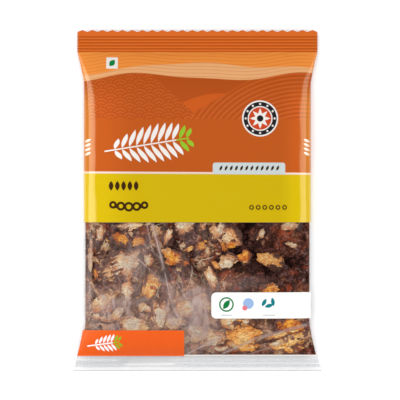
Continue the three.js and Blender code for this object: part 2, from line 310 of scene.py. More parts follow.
class Tree:
    """Adds nodes to a shader tree."""

    def __init__(self, nodes):
        self.tree = nodes

    def node(self, kind, **settings):
        made = self.tree.nodes.new(kind)
        for key, value in settings.items():
            setattr(made, key, value)
        return made

    def feed(self, socket, value):
        if isinstance(value, Value):
            self.tree.links.new(value.socket, socket)
        else:
            socket.default_value = value

    def math(self, operation, *values, clamped=False):
        made = self.node("ShaderNodeMath", operation=operation, use_clamp=clamped)
        for socket, value in zip(made.inputs, values):
            self.feed(socket, value)
        return Value(self, made.outputs[0])

    def sine(self, value):
        return self.math("SINE", value)

    def cosine(self, value):
        return self.math("COSINE", value)

    def floor(self, value):
        return self.math("FLOOR", value)

    def most(self, a, b):
        return self.math("MAXIMUM", a, b)

    def least(self, a, b):
        return self.math("MINIMUM", a, b)

    def length(self, a, b):
        return self.math("SQRT", a * a + b * b)

    def within(self, value, low, high, soft=SOFT):
        """1 between low and high."""
        over = self.math("MULTIPLY_ADD", value - low, 1 / soft, 0.5, clamped=True)
        under = self.math("MULTIPLY_ADD", high - value, 1 / soft, 0.5, clamped=True)
        return over * under

    def edge(self, distance):
        """1 where a signed distance is below zero."""
        return self.math("MULTIPLY_ADD", distance, -1 / SOFT, 0.5, clamped=True)

    def between(self, value, low, high):
        """A smooth step from 0 at low to 1 at high."""
        made = self.node("ShaderNodeMapRange", interpolation_type="SMOOTHSTEP")
        for socket, item in zip(made.inputs, (value, low, high, 0.0, 1.0)):
            self.feed(socket, item)
        return Value(self, made.outputs[0])

    def colour(self, share, a, b):
        """Colour a, with that share of colour b."""
        made = self.node("ShaderNodeMix", data_type="RGBA", clamp_factor=True)
        for socket, value in zip((made.inputs[0], made.inputs[6], made.inputs[7]), (share, a, b)):
            self.feed(socket, value)
        return Value(self, made.outputs[2])

    def painted(self, colour, coats):
        """The colour under several coats. Each is the share that it covers, and its colour."""
        for share, coat in coats:
            colour = self.colour(share, colour, coat)
        return colour

    def noise(self, vector, scale, detail, rough, distortion=0.0):
        made = self.node("ShaderNodeTexNoise")
        labels = ("Vector", "Scale", "Detail", "Roughness", "Distortion")
        for label, value in zip(labels, (vector, scale, detail, rough, distortion)):
            self.feed(made.inputs[label], value)
        return Value(self, made.outputs[0])

    def spot(self):
        """Where the surface lies, in metres."""
        return Value(self, self.node("ShaderNodeTexCoord").outputs["Object"])

    def uv(self, name):
        return Value(self, self.node("ShaderNodeUVMap", uv_map=name).outputs[0])

    def split(self, vector):
        made = self.node("ShaderNodeSeparateXYZ")
        self.feed(made.inputs[0], vector)
        return [Value(self, part) for part in made.outputs]

    def group(self, tree, **values):
        """The outputs of a node group, by name."""
        made = self.node("ShaderNodeGroup", node_tree=tree)
        for key, value in values.items():
            self.feed(made.inputs[key.replace("_", " ")], value)
        return {output.name: Value(self, output) for output in made.outputs}

    def bump(self, shader, height, strength, distance):
        """Fine relief on the shader's surface, with its distance in millimetres."""
        made = self.node("ShaderNodeBump")
        made.inputs["Strength"].default_value = strength
        made.inputs["Distance"].default_value = distance * MM
        self.feed(made.inputs["Height"], height)
        self.feed(shader["Normal"], Value(self, made.outputs[0]))


def new_group(name, inputs, outputs):
    """A node group with number sockets: its tree, its inputs as values, and the sockets that it puts out."""
    tree = bpy.data.node_groups.new(name, "ShaderNodeTree")
    for label, value in inputs.items():
        socket = tree.interface.new_socket(name=label, in_out="INPUT", socket_type="NodeSocketFloat")
        socket.default_value = value
    for label in outputs:
        tree.interface.new_socket(name=label, in_out="OUTPUT", socket_type="NodeSocketFloat")
    build = Tree(tree)
    given = {output.name: Value(build, output) for output in build.node("NodeGroupInput").outputs}
    return build, given, build.node("NodeGroupOutput").inputs


INK_SHARE = 0.87  # colours are darkened to this share, because the light that keeps the table white is strong


def srgb(red, green, blue):
    """A colour as it looks in the light, given as 0 to 255 in the usual screen scale."""
    def linear(value):
        value /= 255
        return INK_SHARE * (value / 12.92 if value <= 0.04045 else ((value + 0.055) / 1.055) ** 2.4)

    return (linear(red), linear(green), linear(blue), 1.0)


def new_material(name, **plain):
    """A Principled material and its shader's sockets. Plain values are set straight on those."""
    material = bpy.data.materials.new(name)
    material.use_nodes = True
    shader = material.node_tree.nodes["Principled BSDF"].inputs
    for label, value in plain.items():
        shader[label.replace("_", " ")].default_value = value
    return material, shader


# ---------- node groups ----------
def pouch_place():
    """Group: X across the pouch, H along it and Z above the table, in millimetres."""
    build, _, out = new_group("place on the pouch", {}, ["X", "H", "Z"])
    x, y, z = build.split(build.spot())
    build.feed(out["X"], x / MM)
    build.feed(out["H"], y / MM + LENGTH / 2)
    build.feed(out["Z"], z / MM)
    return build.tree


CENTRED = {"X": 0, "H": 0, "Centre X": 0, "Centre H": 0}


def rounded_box():
    """Group: 1 inside a box with round corners."""
    shape = {**CENTRED, "Half width": 5, "Half height": 5, "Corner": 1}
    build, given, out = new_group("rounded box", shape, ["Mask"])
    corner = given["Corner"]
    past_x = abs(given["X"] - given["Centre X"]) - (given["Half width"] - corner)
    past_h = abs(given["H"] - given["Centre H"]) - (given["Half height"] - corner)
    outside = build.length(build.most(past_x, 0.0), build.most(past_h, 0.0))
    inside = build.least(build.most(past_x, past_h), 0.0)
    build.feed(out["Mask"], build.edge(outside + inside - corner))
    return build.tree


def turned(build, given):
    """The point in a frame that is centred and turned: along and across."""
    cosine, sine = build.cosine(given["Turn"]), build.sine(given["Turn"])
    x = given["X"] - given["Centre X"]
    h = given["H"] - given["Centre H"]
    return x * cosine + h * sine, h * cosine - x * sine


def single_leaf():
    """Group: 1 inside one pointed leaf."""
    shape = {**CENTRED, "Turn": 0, "Length": 10, "Width": 4}
    build, given, out = new_group("single leaf", shape, ["Mask"])
    along, sideways = turned(build, given)
    share = along * 2.0 / given["Length"]
    half = given["Width"] * 0.5 * (1.0 - share * share)
    build.feed(out["Mask"], build.edge(abs(sideways) - half))
    return build.tree


LEAFLET_SWEEP = 0.55  # how far the leaflets lean forward, for their reach
LEAFLET_WIDTH = 0.36  # half a leaflet's width, as a share of the pitch
SPRIG_TAPER = 0.55  # exponent: lower keeps the leaflets long nearer both ends


def pinnate_sprig():
    """Group: a compound leaf, with pairs of small leaflets along a midrib. Step counts the pairs."""
    shape = {**CENTRED, "Turn": 0, "Length": 50, "Reach": 9, "Pairs": 9}
    build, given, out = new_group("pinnate sprig", shape, ["Mask", "Step"])
    along, sideways = turned(build, given)
    away = abs(sideways)
    pitch = given["Length"] / given["Pairs"]
    start = along + given["Length"] * 0.5
    swept = (start - away * LEAFLET_SWEEP) / pitch
    step = build.floor(swept)
    beside = (swept - step - 0.5) * pitch
    turn = (step + 1.2) * math.pi / (given["Pairs"] + 1.2)
    size = build.math("POWER", build.most(build.sine(turn), 0.0), SPRIG_TAPER)
    reach = given["Reach"] * size
    middle = reach * 0.5 + 0.5
    share = (away - middle) / (reach * 0.5)
    half = pitch * LEAFLET_WIDTH * (1.0 - share * share)
    leaflets = build.edge(abs(beside) - half) * build.within(step, -0.5, given["Pairs"] - 0.5)
    midrib = build.edge(away - 0.4) * build.within(start, -4.0, given["Length"] - 1.0)
    build.feed(out["Mask"], build.most(leaflets, midrib))
    build.feed(out["Step"], step)
    return build.tree


def scallops():
    """Group: overlapping round scales in rows. Reach is 0 in a scale's middle and 1 on its rim."""
    build, given, out = new_group("scallops", {"X": 0, "H": 0, "Width": 9}, ["Reach"])
    radius = given["Width"] * 0.5
    rise = given["Width"] * 0.25
    level = given["H"] / rise
    row = build.floor(level)
    share = level - row

    def reach_of(rows_below):
        shift = build.math("MODULO", row - rows_below + 200.0, 2.0) * 0.5
        column = given["X"] / given["Width"] + shift
        beside = build.math("FRACT", column + 100.0) - 0.5
        over = (share + rows_below) * rise
        return build.length(beside * given["Width"], over) / radius

    def first_inside(reach, otherwise):
        chosen = build.math("LESS_THAN", reach, 1.0)
        return chosen * reach + (1.0 - chosen) * otherwise

    below, own, above = reach_of(1.0), reach_of(0.0), reach_of(-1.0)
    build.feed(out["Reach"], first_inside(below, first_inside(own, above)))
    return build.tree


def crease_line():
    """Group: 1 along a straight crease, fading towards both ends."""
    shape = {"X": 0, "H": 0, "X0": 0, "H0": 0, "X1": 10, "H1": 10, "Width": 1}
    build, given, out = new_group("crease", shape, ["Mask"])
    run_x, run_h = given["X1"] - given["X0"], given["H1"] - given["H0"]
    off_x, off_h = given["X"] - given["X0"], given["H"] - given["H0"]
    squared = run_x * run_x + run_h * run_h
    along = build.math("DIVIDE", off_x * run_x + off_h * run_h, squared, clamped=True)
    gap = build.length(off_x - along * run_x, off_h - along * run_h)
    near = 1.0 - build.between(gap, 0.0, given["Width"])
    fade = build.between(along, 0.0, 0.12) * build.between(1.0 - along, 0.0, 0.12)
    build.feed(out["Mask"], near * fade)
    return build.tree


place_group = pouch_place()
box_group = rounded_box()
leaf_group = single_leaf()
sprig_group = pinnate_sprig()
scallop_group = scallops()
crease_group = crease_line()


class Face(Tree):
    """The tree of one side of the film, with its place x, h and the masks of what is printed there."""

    def __init__(self, nodes):
        super().__init__(nodes)
        place = self.group(place_group)
        self.x, self.h = place["X"], place["H"]

    def stamp(self, tree, x, h, **values):
        """What a node group draws round the point x, h."""
        return self.group(tree, X=self.x, H=self.h, Centre_X=x, Centre_H=h, **values)

    def box(self, left, right, low, high, corner):
        half = {"Half_width": (right - left) / 2, "Half_height": (high - low) / 2}
        return self.stamp(box_group, (left + right) / 2, (low + high) / 2, Corner=corner, **half)["Mask"]

    def disc(self, x, h, radius):
        return self.box(x - radius, x + radius, h - radius, h + radius, radius)

    def leaf(self, x, h, turn, length, width):
        return self.stamp(leaf_group, x, h, Turn=math.radians(turn), Length=length, Width=width)["Mask"]

    def sprig(self, x, h, turn, length, reach, pairs, white):
        """A compound leaf, white but for its two green pairs at the tip: its mask and its colour."""
        shape = {"Turn": math.radians(turn), "Length": length, "Reach": reach, "Pairs": pairs}
        drawn = self.stamp(sprig_group, x, h, **shape)
        tip = self.within(drawn["Step"], pairs - 2.5, pairs - 0.5, 0.1)
        return drawn["Mask"], self.colour(tip, white, LEAF_GREEN)

    def crease(self, x0, h0, x1, h1, width):
        return self.group(crease_group, X=self.x, H=self.h, X0=x0, H0=h0, X1=x1, H1=h1, Width=width)["Mask"]


# ---------- the print ----------
ORANGE = srgb(180, 83, 26)
CRIMP_ORANGE = srgb(205, 99, 34)
PALE_ORANGE = srgb(228, 138, 60)
PEACH = srgb(222, 164, 112)
RUST = srgb(171, 76, 26)
MIDDLE_ORANGE = srgb(193, 86, 28)
MARK_ORANGE = srgb(196, 92, 36)
# the warm painted highlight on the side folds
FOLD_PAINTED_HIGHLIGHT = srgb(255, 206, 96)
# brown for the painted shade in the crimp's grooves and the painted shadow by the lap edge, and for the
# seam's heat-seal rows
SHADE_AND_SEAL_BROWN = srgb(120, 42, 8)
YELLOW = srgb(196, 167, 6)
EDGE_CREAM = srgb(220, 198, 184)
WHITE_INK = srgb(226, 221, 216)
LABEL_WHITE = srgb(252, 252, 252)
TAB_GREY = srgb(192, 200, 199)
RULE_GREY = srgb(160, 165, 168)
BLOCK_ORANGE = srgb(236, 93, 26)
LEAF_GREEN = srgb(138, 184, 44)
DARK_INK = srgb(58, 36, 14)
BADGE_BLACK = srgb(34, 32, 36)
BADGE_RED = srgb(190, 66, 30)
CREAM = srgb(238, 228, 205)
FOREST = srgb(20, 122, 62)
SKY = srgb(150, 180, 222)
TEAL = srgb(20, 122, 132)
PINK = srgb(222, 120, 130)

# Printed boxes: left, right, low, high and the corners' radius. Some run on past the folds.
PATCH = (-56.8, -49.6, 188.6, 195.8, 0.6)
TAB = (9.5, 54.5, 121.0, 130.0, 1.6)
LABEL = (8.6, 90.0, 33.2, 49.5, 3.1)
BLOCK = (-90.0, -8.2, 4.0, 25.8, 1.0)
POD_BAR = (-53.0, -32.0, 101.7, 104.3, 1.0)

BADGE = (38.9, 157.4)
POD_SEEDS = [(0.9, 2.4), (0.1, 2.8), (-0.3, 3.0), (-0.1, 2.8), (0.7, 2.4)]  # rise and radius of each
SLANT = 0.006  # the print sits slightly askew
TURN = 2 * math.pi


def artwork(film):
    """The orange end's own print: contour lines over hills, with scales and furrows on their slopes."""
    x, h = film.x, film.h
    roll = film.sine(x / 15.5 + 3.6)
    ripple = film.sine(x / 8.7 + 0.4)
    over = h - (ART_TOP - 0.6 + roll * 2.1 + ripple * 0.8)
    far = film.sine(x / 21 + 1.1) * 3.4 + 6.5
    lines = film.sine(over * 2.9 + roll * 1.7)
    sky = film.colour(film.between(over - far, -0.3, 0.3), PEACH, PALE_ORANGE)
    sky = film.colour(film.between(lines, 0.6, 1.0) * 0.3, sky, RUST)
    # the hills: scales on the left, plain in the middle, furrows on the right
    reach = film.group(scallop_group, X=x, H=h, Width=12.0)["Reach"]
    rings = film.sine(reach * (TURN * 3))
    furrows = film.length(x - 66.0, (h - 128.0) * 1.2)
    rows = film.sine(furrows * (TURN / 3.1))
    near = film.sine(x / 13.0 + 0.6) * 5.0 + 168.0
    left = film.between(x + (h - 170.0) * 1.1, -12.0, -13.0)
    right = film.between(x - (h - 168.0) * 1.7, 9.0, 10.0)
    hill = film.colour(film.between(h - near, -0.3, 0.3), MIDDLE_ORANGE, RUST)
    marks = left * film.between(rings, 0.1, 0.7) + right * film.between(rows, 0.0, 0.6)
    hill = film.painted(hill, [(film.most(left, right), RUST), (marks * 0.75, MARK_ORANGE)])
    return film.colour(film.within(over, 0.0, 100.0, 0.5), hill, sky)


def crimped(film, ink):
    """The crimp's own orange, with painted shade along the grooves of its heat-set ribs."""
    groove = film.cosine((film.h - SEAL_TOP) * (TURN / RIB_PITCH))
    ribbed = film.within(film.h, SEAL_TOP - 0.3, LENGTH - RIB_MARGIN + 0.4)
    # pressed: painted shade in the grooves between the ribs
    pressed = film.between(groove, 0.35, 0.95) * ribbed
    crimp = film.within(film.h, SEAL_TOP, LENGTH + 1)
    return film.painted(ink, [(crimp, CRIMP_ORANGE), (pressed * 0.75, SHADE_AND_SEAL_BROWN)])


def banded(film, ink, level):
    """The yellow band and the pale line over it."""
    line = film.within(level, YELLOW_TOP, YELLOW_TOP + WHITE_LINE)
    return film.painted(ink, [(film.within(level, 0.0, YELLOW_TOP), YELLOW), (line, EDGE_CREAM)])


def rosette(film):
    """A round badge: rings, a star of leaves and a circle of dots."""
    rings = [(11.2, WHITE_INK), (10.3, BADGE_BLACK), (7.7, WHITE_INK), (7.0, BADGE_RED)]
    coats = [(film.disc(*BADGE, radius), colour) for radius, colour in rings]
    coats += [(film.leaf(*BADGE, turn, 12.6, 3.0), WHITE_INK) for turn in (0, 45, 90, 135)]
    coats.append((film.disc(*BADGE, 2.0), BADGE_BLACK))
    for angle in range(0, 360, 30):
        x = BADGE[0] + 9.0 * math.cos(math.radians(angle))
        h = BADGE[1] + 9.0 * math.sin(math.radians(angle))
        coats.append((film.disc(x, h, 0.62), WHITE_INK))
    return coats


def small_marks(film, level):
    """A patch with a leaf, the tab on the pale line, and rows of leaves, a pod and beads on the bands."""
    tab = film.box(*TAB) * film.within(level, YELLOW_TOP, 200.0)
    coats = [(film.box(*PATCH), WHITE_INK), (film.leaf(-53.2, 192.2, 50, 5.0, 3.4), FOREST), (tab, TAB_GREY)]
    coats += [(film.leaf(14.6 + 3.2 * step, 126.6, 65, 3.6, 1.5), DARK_INK) for step in range(12)]
    coats += [(film.leaf(-53.6 + 3.9 * step, 115.6, 90, 6.0, 2.9), DARK_INK) for step in range(5)]
    seeds = [(-52.4 + 4.9 * step, 102.9 + rise, radius) for step, (rise, radius) in enumerate(POD_SEEDS)]
    coats += [(film.disc(x, h, radius), DARK_INK) for x, h, radius in seeds]
    coats.append((film.box(*POD_BAR), DARK_INK))
    coats += [(film.disc(x, h, radius - 1.5), YELLOW) for x, h, radius in seeds]
    for step in range(6):
        bead = (33.6 + 4.1 * step, 102.2)
        coats += [(film.disc(*bead, 1.5), DARK_INK), (film.disc(*bead, 0.75), YELLOW)]
    for x, turn in ((-68.2, 25), (68.0, 155)):
        coats += [(film.leaf(x, 135.6 + 2.7 * step, turn, 4.2, 1.7), WHITE_INK) for step in range(4)]
    return coats


def lower_panels(film):
    """The white label with its marks, and the orange block with a small sprig."""
    coats = [
        (film.box(*LABEL), LABEL_WHITE),
        (film.disc(18.0, 42.0, 4.6), FOREST),
        (film.disc(18.0, 42.0, 3.6), LABEL_WHITE),
        (film.leaf(18.0, 42.0, 55, 7.0, 3.4), FOREST),
        (film.disc(31.6, 42.6, 3.4), SKY),
        (film.disc(29.4, 39.8, 1.6), PINK),
    ]
    for x, h, turn in ((41.4, 43.2, 60), (44.4, 41.2, 15), (46.8, 43.6, 100)):
        coats.append((film.leaf(x, h, turn, 5.6, 2.4), TEAL))
    for left, right in ((14.6, 21.4), (40.6, 48.2)):
        coats.append((film.box(left, right, 35.1, 35.6, 0.2), RULE_GREY))
    return coats + [(film.box(*BLOCK), BLOCK_ORANGE), film.sprig(-56.4, 17.4, 8, 17.0, 5.0, 7.0, LABEL_WHITE)]


def painted_fold_light(film, ink):
    """Painted light on the ink: brighter towards the side folds, and a warm painted highlight on them."""
    # painted light: left and right brighten the ink towards the folds, and folds tints the folds as a painted
    # highlight
    left = film.between(film.x * -1.0, 36.0, 64.0) * 0.2
    right = film.between(film.x, 50.0, 64.0) * 0.22
    folds = film.between(abs(film.x), 62.0, 70.0) * 0.17
    low = film.between(film.h, 184.0, 164.0)
    scaled = film.node("ShaderNodeVectorMath", operation="SCALE")
    film.feed(scaled.inputs["Vector"], film.colour(folds * low, ink, FOLD_PAINTED_HIGHLIGHT))
    film.feed(scaled.inputs["Scale"], (left + right) * low + 1.0)
    return Value(film, scaled.outputs["Vector"])


def front_print(film):
    """Colour of the front's ink."""
    level = film.x * SLANT + film.h
    ink = film.colour(film.within(film.h, YELLOW_TOP, ART_LOW, 0.5), artwork(film), ORANGE)
    ink = banded(film, crimped(film, ink), level)
    sprig = film.sprig(-29.0, 141.5, 9, 50.0, 11.5, 11.0, WHITE_INK)
    ink = film.painted(ink, [sprig] + rosette(film) + small_marks(film, level))
    return film.painted(painted_fold_light(film, ink), lower_panels(film))


def front_cover(film):
    """1 where the front has ink."""
    block = film.box(*BLOCK) * film.within(film.h, CLEAR_EDGE - 0.3, 60.0, 0.4)
    return film.most(back_cover(film), film.most(block, film.box(*LABEL)))


def back_print(film):
    """Colour of the back's ink: the bands wrap round, with bare panels on each side of the seam."""
    ink = banded(film, crimped(film, ORANGE), film.h)
    for left, right in ((-62.0, -10.0), (12.0, 62.0)):
        ink = film.painted(ink, [
            (film.box(left, right, 131.0, 184.0, 2.5), CREAM),
            (film.box(left, right, 97.0, 117.0, 2.5), CREAM),
        ])
    rules = film.between(film.sine(film.h * (TURN / 6)), 0.93, 1.0)
    ruled = film.box(-58.0, -14.0, 136.0, 178.0, 0.5) * rules
    seam = film.within(film.x, -LAP_EDGE, LAP_EDGE, 0.2)
    rows = film.between(film.sine(film.h * (TURN / 1.6)), 0.2, 0.9)
    shadow = film.within(film.x, LAP_EDGE - 0.1, LAP_EDGE + 0.35, 0.2)
    return film.painted(ink, [
        (ruled * 0.6, DARK_INK),
        (seam * (rows * 0.1 + 0.1), SHADE_AND_SEAL_BROWN),
        (shadow * 0.5, SHADE_AND_SEAL_BROWN),
    ])


def back_cover(film):
    """1 where the ink runs all round the pouch."""
    return film.within(film.h, WINDOW_TOP, LENGTH + 5)


# ---------- the clear film ----------
CLEAR_WARM = srgb(188, 164, 158)
SEAL_GREY = srgb(186, 189, 193)
# a painted highlight along the seal's inner edge
SEAL_EDGE_HIGHLIGHT = srgb(255, 246, 240)
INSIDE_GREY = srgb(225, 222, 226)
CLEAREST = 0.001  # how much even the clearest film covers
DENSEST = 0.85


def drawn_streaks(film, spot):
    """Streaks along the pouch, where the film was drawn tight."""
    drawn_out = film.node("ShaderNodeMapping")
    film.feed(drawn_out.inputs["Vector"], spot)
    drawn_out.inputs["Scale"].default_value = (1.0, 0.22, 1.0)
    drawn_out.inputs["Rotation"].default_value = (0.0, 0.0, math.radians(-8))
    return film.between(film.noise(Value(film, drawn_out.outputs[0]), 210.0, 3.0, 0.6, 0.8), 0.42, 0.66)


def front_haze(film):
    """How much the clear film veils: blotches where it stands off the pulp, smears and creases."""
    spot = film.spot()
    blotch = film.between(film.noise(spot, 44.0, 5.0, 0.6, 0.9), 0.4, 0.64)
    streak = drawn_streaks(film, spot)
    side = 1.0 - film.between(film.x, -6.0, 26.0) * 0.97
    low = 1.0 - film.between(film.h, 36.0, 66.0)
    veil = blotch * side * (low * 0.36 + 0.06) * (streak * 0.8 + 0.6) + streak * side * 0.07
    cloud = blotch * 0.24 + 0.1
    for middle_x, middle_h, reach_x, reach_h, share in SMEARS:
        away = film.length((film.x - middle_x) / reach_x, (film.h - middle_h) / reach_h)
        veil += (1.0 - film.between(away, 0.2, 1.1)) * cloud * share
    for *line, share in CREASES:
        veil += film.crease(*line) * share
    return veil


def back_haze(film):
    """The back is clearer, apart from the double film of the lap seam."""
    spot = film.spot()
    blotch = film.between(film.noise(spot, 60.0, 5.0, 0.6, 0.9), 0.44, 0.66)
    veil = blotch * (drawn_streaks(film, spot) * 0.12 + 0.08)
    seam = film.within(film.x, -LAP_EDGE, LAP_EDGE, 0.3)
    right_edge = film.within(film.x, LAP_EDGE - 0.3, LAP_EDGE, 0.3)
    left_edge = film.within(film.x, -LAP_EDGE, 0.3 - LAP_EDGE, 0.3)
    return veil + seam * 0.07 + film.most(right_edge, left_edge) * 0.3


def seal_film(film):
    """How dense the clear bottom seal looks: bars along it, a darker cut edge, and brighter lines that are
    painted glints.
    """
    h = film.h
    left = film.between(film.x, -10.0, -40.0)
    dense = left * 0.05 + film.between(h, CLEAR_EDGE, 5.4) * 0.16 + 0.13
    bars = [
        (film.within(h, -1.0, 4.45, 0.25), 0.31),
        (film.within(h, -1.0, 2.5, 0.25), 0.1),
        (film.within(h, -1.0, 0.5, 0.15), 0.6),
        # painted glints: the brighter line below and the two clear creases at the end let the white table
        # show through
        (film.within(h, 4.45, 5.1, 0.25) * (1.0 - left), 0.08),
        (film.crease(-66.0, 5.3, -42.0, 5.5, 0.9), 0.42),
        (film.crease(-77.0, 7.2, -48.0, 6.4, 0.9), 0.02),
        (film.crease(-48.0, 4.0, -12.0, 4.3, 1.0), 0.03),
    ]
    for share, value in bars:
        dense += share * (value - dense)
    return dense


def film_material(name, colour_of, cover_of, haze_of):
    """One side of the film: solid where it is printed, and a thin veil where it is clear."""
    material, shader = new_material(
        name, IOR=1.5, Specular_IOR_Level=0.52, Specular_Tint=(1.0, 0.94, 0.68, 1.0)
    )
    film = Face(material.node_tree)
    h = film.h
    cover = cover_of(film)
    sealed = film.within(h, -5.0, CLEAR_EDGE, 0.4)
    # a painted highlight, white and nearly opaque, along the seal's inner edge
    edge_highlight = film.within(h, CLEAR_EDGE - 0.1, CLEAR_EDGE + 0.6, 0.25)
    clear = film.painted(CLEAR_WARM, [(sealed, SEAL_GREY), (edge_highlight, SEAL_EDGE_HIGHLIGHT)])
    film.feed(shader["Base Color"], film.colour(cover, clear, colour_of(film)))
    veil = film.colour(sealed, haze_of(film) + CLEAREST, seal_film(film))
    veil = film.most(veil, edge_highlight * 0.82)
    film.feed(shader["Alpha"], film.most(cover, film.least(veil, DENSEST)))
    film.feed(shader["Roughness"], film.between(h, 34.0, 24.0) * 0.38 + 0.12)
    # the clear film is slack, the inked film less so, and the seal is flat
    slack = (cover * -0.75 + 1.0) * (1.0 - sealed)
    broad = film.noise(film.spot(), 90.0, 2.0, 0.5, 0.4)
    fine = film.noise(film.spot(), 420.0, 2.0, 0.5)
    film.bump(shader, (broad + fine * 0.12) * slack, 0.25, 0.4)
    return material


def inside_material():
    """The film's inner face: clear all over."""
    material, _ = new_material(
        "clear film inside", IOR=1.5, Roughness=0.2, Base_Color=INSIDE_GREY, Alpha=CLEAREST
    )
    return material


# ---------- the film, as one piece ----------
COLUMNS = 6 * TEETH  # six to a tooth, so that each tip and each notch has a vertex
CRIMP_ROWS, SEAL_ROWS, BODY_ROWS = 42, 16, 128
ROWS = SEAL_ROWS + BODY_ROWS + CRIMP_ROWS
CROWDING = 0.72  # how far the columns gather at the side folds
INNER_COLUMNS, INNER_ROWS = 72, 100
INNER_DEPTH = 0.35  # of the film's inner face below its outer one


def film_heights():
    seal = [BOTTOM_SEAL * i / SEAL_ROWS for i in range(SEAL_ROWS)]
    body = [mix(BOTTOM_SEAL, SEAL_TOP, i / BODY_ROWS) for i in range(BODY_ROWS)]
    crimp = [mix(SEAL_TOP, LENGTH, i / CRIMP_ROWS) for i in range(CRIMP_ROWS + 1)]
    return seal + body + crimp


def rib_lift(h):
    """Ribs of the crimp, and two soft ones in the bottom seal."""
    if h > SEAL_TOP:
        fade = smooth((LENGTH - RIB_MARGIN - h) / 0.8) * smooth((h - SEAL_TOP) / 0.5)
        return RIB_RELIEF * (0.5 - 0.5 * math.cos(2 * math.pi * (h - SEAL_TOP) / RIB_PITCH)) * fade
    if h < BOTTOM_SEAL:
        return 0.15 * (0.5 - 0.5 * math.cos(2 * math.pi * h / 3.8)) * smooth(h / 0.8)
    return 0.0


def ripple(x, h):
    """Slack, folds and creases of the filled film, outwards."""
    full = fullness(h)
    inner = smooth((1 - abs(x) / half_width(h)) / 0.12)
    in_window = smooth((WINDOW_TOP - h) / 6)
    lumps = (0.25 + 0.3 * in_window) * noise_at(x, h, 15.0, 0.3)
    lumps += 0.12 * noise_at(x, h, 6.0, 4.1) * in_window
    neck = smooth((h - SEAL_TOP + 34) / 20) * smooth((SEAL_TOP - h) / 4)
    gathers = 0.42 * noise.noise(Vector((x / 7.0, h / 34.0, 7.7))) * neck
    foot = smooth((BOTTOM_SEAL + 30 - h) / 18) * smooth((h - BOTTOM_SEAL) / 4)
    pleats = 0.4 * noise.noise(Vector((x / 5.5, h / 28.0, 2.2))) * foot
    ridge = 0.0
    if h < WINDOW_TOP + 2:
        for line in CREASES:
            gap, along = near_line(x, h, line)
            ends = smooth(along / 0.15) * smooth((1 - along) / 0.15)
            ridge = max(ridge, 0.45 * math.exp(-((gap / (line[4] * 1.1)) ** 2)) * ends)
    return inner * (full * lumps + gathers + pleats + ridge * min(1.0, full * 3))


def zigzag(x):
    """How far the cut edge lies below the tips, at x. An even count of teeth has a notch in the middle."""
    share = (x / (TOP_WIDTH / TEETH)) % 1.0
    return TOOTH_DEPTH * abs(2 * share - 1)


def back_recess(x, h):
    """The step of the lap seam: the film past the outer edge lies one thickness higher."""
    if x < LAP_EDGE or not BOTTOM_SEAL < h < SEAL_TOP:
        return 0.0
    beside = 1 - smooth((x - LAP_EDGE) / 12)
    return LAP_STEP * beside * smooth((h - BOTTOM_SEAL) / 8) * smooth((SEAL_TOP - h) / 8)


def crowded(u):
    """A place across, from -1 to 1, moved towards the side folds."""
    return mix(u, math.sin(u * math.pi / 2), CROWDING)


def film_share(column, h):
    """A column's place as a share of the half width: even along the crimp, for its teeth."""
    u = 2 * column / COLUMNS - 1
    return mix(u, crowded(u), smooth((SEAL_TOP - h) / 14))


def film_outside(heights):
    """The outer skin. In each row, two columns are moved to mark the edge of the lap seam."""
    piece = slab("film_web", COLUMNS, ROWS)

    def column_x(column, h):
        return film_share(column, h) * half_width(h)

    def nearest_column(h):
        return min(range(COLUMNS // 2, COLUMNS), key=lambda column: abs(column_x(column, h) - LAP_EDGE))

    lap_columns = [nearest_column(h) for h in heights]

    def where(column, row, upper):
        h = heights[row]
        x = column_x(column, h)
        if column in (lap_columns[row], lap_columns[row] + 1):
            x = LAP_EDGE - 0.05 if column == lap_columns[row] else LAP_EDGE + 0.15
        cut = zigzag(x) * smooth((h - (LENGTH - RIB_MARGIN)) / RIB_MARGIN)
        lift = rib_lift(h)
        if upper:
            return x, h - cut, front_at(x, h) + lift + ripple(x, h)
        return x, h - cut, max(back_at(x, h) + lift, 0.0) + back_recess(x, h)

    place_by_grid(piece, COLUMNS, ROWS, where)
    return piece


def film_inside():
    """The inner face of the same film, as a closed skin that faces the hollow."""
    piece = slab("film_inner_face", INNER_COLUMNS, INNER_ROWS)

    def where(column, row, upper):
        h = mix(BOTTOM_SEAL + 0.8, SEAL_TOP - 0.8, row / INNER_ROWS)
        x = crowded(2 * column / INNER_COLUMNS - 1) * (half_width(h) - 0.6)
        middle = fold_height(h)
        if upper:
            return x, h, max(front_at(x, h) - INNER_DEPTH + min(0.0, ripple(x, h)), middle + 0.12)
        return x, h, min(back_at(x, h) + back_recess(x, h) + INNER_DEPTH, middle - 0.12)

    place_by_grid(piece, INNER_COLUMNS, INNER_ROWS, where)
    edit_all(piece, bpy.ops.mesh.flip_normals)
    return piece


def make_film():
    outside = film_outside(film_heights())
    inside = film_inside()
    materials = [
        film_material("printed film front", front_print, front_cover, front_haze),
        film_material("printed film back", back_print, back_cover, back_haze),
        inside_material(),
    ]
    for material in materials:
        outside.data.materials.append(material)
        inside.data.materials.append(material)
    for polygon in outside.data.polygons:
        polygon.material_index = 1 if polygon.normal.z < -0.05 else 0
    for polygon in inside.data.polygons:
        polygon.material_index = 2
    choose(outside)
    inside.select_set(True)
    bpy.ops.object.join()
    return finish_piece(outside, "printed_film", "pouch_film")


# ---------- pulp ----------
LUMP_SPREAD = 1.16  # the pressed lumps bulge over one another
# The folds, pits and grit of a lump: their size, their depth and where their noise is taken from.
KNEADING = [(9.0, 1.6, Vector((0, 0, 0))), (3.8, 1.0, Vector((3, 7, 1))), (1.5, 0.35, Vector((9, 2, 5)))]
